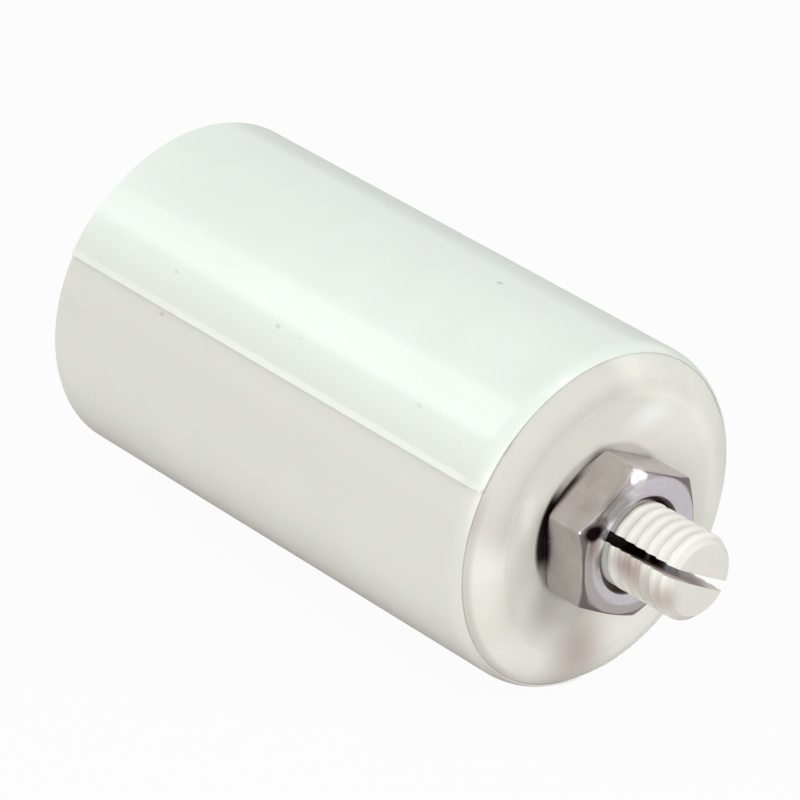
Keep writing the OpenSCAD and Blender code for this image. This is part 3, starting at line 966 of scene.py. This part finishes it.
def make_zinc():
    """Zinc plating, coloured by which way a surface faces as painted reflections: bright and
    bluish on the front face, duller and browner on the flats, dark on the chamfers; painted shade
    on the back face, in the bore and at the nut's foot, painted dark reflections near one corner
    and a painted glint near another.
    """
    material, tree, shader = finish("zinc_plated_steel", 0.22, Metallic=1.0)
    grain = place_group(tree, fine_grain, Size=0.5, Cloud_Size=2.6)
    # Tones set by which way the surface faces stand in for painted reflections: a bright bluish
    # front face, duller browner flats, dark chamfers and rim, and near-black painted shade on the
    # back face.
    flats = drifting_tone(tree, grain, (0.50, 0.455, 0.445), (0.61, 0.565, 0.555), 0.25)
    faces = drifting_tone(tree, grain, (0.84, 0.81, 0.89), (0.93, 0.91, 0.98), 0.25)
    chamfers, rim, seat_face_shade = (0.26, 0.21, 0.22), (0.68, 0.63, 0.63), (0.04, 0.03, 0.03)
    surface = tree.nodes.new("ShaderNodeNewGeometry")
    split = tree.nodes.new("ShaderNodeSeparateXYZ")
    wire(tree, (surface.outputs["Normal"], split.inputs[0]))
    to_tip = split.outputs["X"]
    axis = place_group(tree, round_axis)
    on_face = ramp(tree, to_tip, 0.90, 0.985)
    faced = multiply(tree, on_face, ramp(
        tree, patch(tree, (3.9, 0.42, 0.22), (30, 12, 12)), 0.49, 0.53))
    tone = blend_colour(tree, ramp(tree, to_tip, 0.25, 0.7), flats, chamfers)
    tone = blend_colour(tree, on_face, tone, rim)
    tone = blend_colour(tree, faced, tone, faces)
    tone = blend_colour(tree, ramp(tree, to_tip, -0.15, -0.5), tone, seat_face_shade)
    # Painted dark reflections and painted shade on the nut's front.
    for centre, reach, share in PAINTED_DARK_SPOTS:
        dark_spot = ramp(tree, patch(tree, centre, reach), 0, 0.6, 0, share)
        tone = blend_colour(tree, dark_spot, tone, PAINTED_DARK)
    # Painted shadow at the nut's foot on its left side.
    left_side = ramp(tree, patch(tree, (0, -5.6, 3.2), (30, 6.2, 6.6)), 0.05, 0.45)
    shadow_at_seat = multiply(tree, ramp(tree, axis.outputs["Along"], -0.1, -0.75), left_side)
    tone = stain(tree, tone, shadow_at_seat, 0.9, PAINTED_DARK)
    # Painted glint: a near-white patch on the chamfer at one corner.
    painted_glint = ramp(tree, patch(tree, (3.8, 0.1, 6.6), (1.2, 1.2, 1.3)), 0, 0.5)
    tone = blend_colour(tree, painted_glint, tone, (0.98, 0.97, 0.97))
    # Painted shade in the mouth of the nut's bore.
    bore_shade = ramp(tree, axis.outputs["Radius"],
                   (NUT_BORE_R + NUT_MOUTH) / MM + 0.15, NUT_BORE_R / MM + 0.25)
    tone = stain(tree, tone, bore_shade, 0.9, (0.07, 0.05, 0.045))
    wire(tree, (tone, shader.inputs["Base Color"]))
    vary_roughness(tree, shader, grain, 0.18, 0.28)
    raise_bump(tree, shader, grain.outputs["Height"], 0.004 * MM)
    return material


nut = build_nut()
nut.data.materials.append(make_zinc())
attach(nut, "root")
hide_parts("hex_nut")


# ---------------------------------------------------------------------------
# The setting: a pale floor under the can, soft studio light, and the camera.
# None of it belongs to the part.
# ---------------------------------------------------------------------------

CAMERA_TURN = radians(46.43)
CAMERA_RISE = radians(33.44)
CAMERA_DISTANCE = 476.2 * MM
CAMERA_LENS = 251.4
SENSOR_WIDTH = 36
CLIP_START = 0.01
AIM_ASIDE = -17.69 * MM
AIM_ABOVE = 10.83 * MM
FLOOR_SIZE = 6
FLOOR_COLOUR = (0.60, 0.60, 0.59, 1)
FLOOR_GLOW = 0.95
SKY_LIGHT = 0.60
# Square lamps: name, direction as (right, up, towards the camera), distance and width in
# metres, power in watts.
LAMPS = (
    ("left_light", (-0.631, 0.747, 0.211), 0.55, 0.16, 0.22),
    ("top_light", (0.27, 0.83, 0.49), 0.50, 0.07, 0.20),
    ("glint_light", (0.958, 0.117, 0.2585), 0.55, 0.10, 0.28),
    ("right_light", (0.855, 0.167, 0.492), 0.55, 0.5, 0.60),
    ("front_light", (-0.3, -0.15, 0.9), 0.7, 0.5, 2.10),
)

outward = Vector((
    sin(CAMERA_TURN) * cos(CAMERA_RISE),
    -cos(CAMERA_TURN) * cos(CAMERA_RISE),
    sin(CAMERA_RISE),
))
rightward = Vector((cos(CAMERA_TURN), sin(CAMERA_TURN), 0))
upward = outward.cross(rightward)


def facing(direction, up):
    """Rotation that points a camera's or lamp's -Z along direction, with its Y near up."""
    back = -direction.normalized()
    right = up.cross(back).normalized()
    return Matrix((right, back.cross(right), back)).transposed().to_euler()


def place_camera():
    """A long lens that looks down on the stud's end from the right."""
    data = bpy.data.cameras.new("camera")
    data.lens = CAMERA_LENS
    data.sensor_width = SENSOR_WIDTH
    data.clip_start = CLIP_START
    camera = bpy.data.objects.new("camera", data)
    bpy.context.scene.collection.objects.link(camera)
    camera.location = outward * CAMERA_DISTANCE
    aim = rightward * AIM_ASIDE + upward * AIM_ABOVE
    camera.rotation_euler = facing(aim - camera.location, upward)
    bpy.context.scene.camera = camera


def place_lamp(name, direction, distance, width, power):
    """A soft box that shines on the middle of the part."""
    data = bpy.data.lights.new(name, "AREA")
    data.shape = "SQUARE"
    data.size = width
    data.energy = power
    lamp = bpy.data.objects.new(name, data)
    bpy.context.scene.collection.objects.link(lamp)
    side, rise, front = direction
    way = (rightward * side + upward * rise + outward * front).normalized()
    middle = Vector(((cad_low.x + cad_high.x) / 2, 0, 0))
    lamp.location = middle + way * distance
    lamp.rotation_euler = facing(-way, Vector((0, 0, 1)))


def make_floor():
    """A pale matt floor that the camera sees as nearly white."""
    bpy.ops.mesh.primitive_plane_add(size=FLOOR_SIZE, location=(0, 0, cad_low.z))
    floor = bpy.context.active_object
    floor.name = "floor"
    material, tree, shader = finish("floor", 0.9, Specular_IOR_Level=0.1)
    shader.inputs["Base Color"].default_value = FLOOR_COLOUR
    glow = tree.nodes.new("ShaderNodeEmission")
    path = tree.nodes.new("ShaderNodeLightPath")
    mix = tree.nodes.new("ShaderNodeMixShader")
    wire(tree,
         (multiply(tree, path.outputs["Is Camera Ray"], FLOOR_GLOW), mix.inputs["Fac"]),
         (shader.outputs[0], mix.inputs[1]),
         (glow.outputs[0], mix.inputs[2]),
         (mix.outputs[0], tree.nodes["Material Output"].inputs["Surface"]))
    floor.data.materials.append(material)


def make_world():
    """A white backdrop that lights the part a little less brightly than it looks."""
    world = bpy.data.worlds.new("studio")
    bpy.context.scene.world = world
    world.use_nodes = True
    tree = world.node_tree
    backdrop = tree.nodes["Background"]
    backdrop.inputs["Color"].default_value = (1, 1, 1, 1)
    path = tree.nodes.new("ShaderNodeLightPath")
    seen = path.outputs["Is Camera Ray"]
    for ray in ("Is Glossy Ray", "Is Transmission Ray"):
        seen = arithmetic(tree, "MAXIMUM", seen, path.outputs[ray])
    strength = ramp(tree, seen, 0.0, 1.0, SKY_LIGHT, 1.0)
    wire(tree, (strength, backdrop.inputs["Strength"]))


place_camera()
for lamp in LAMPS:
    place_lamp(*lamp)
make_floor()
make_world()
bpy.context.scene.view_settings.view_transform = "Standard"
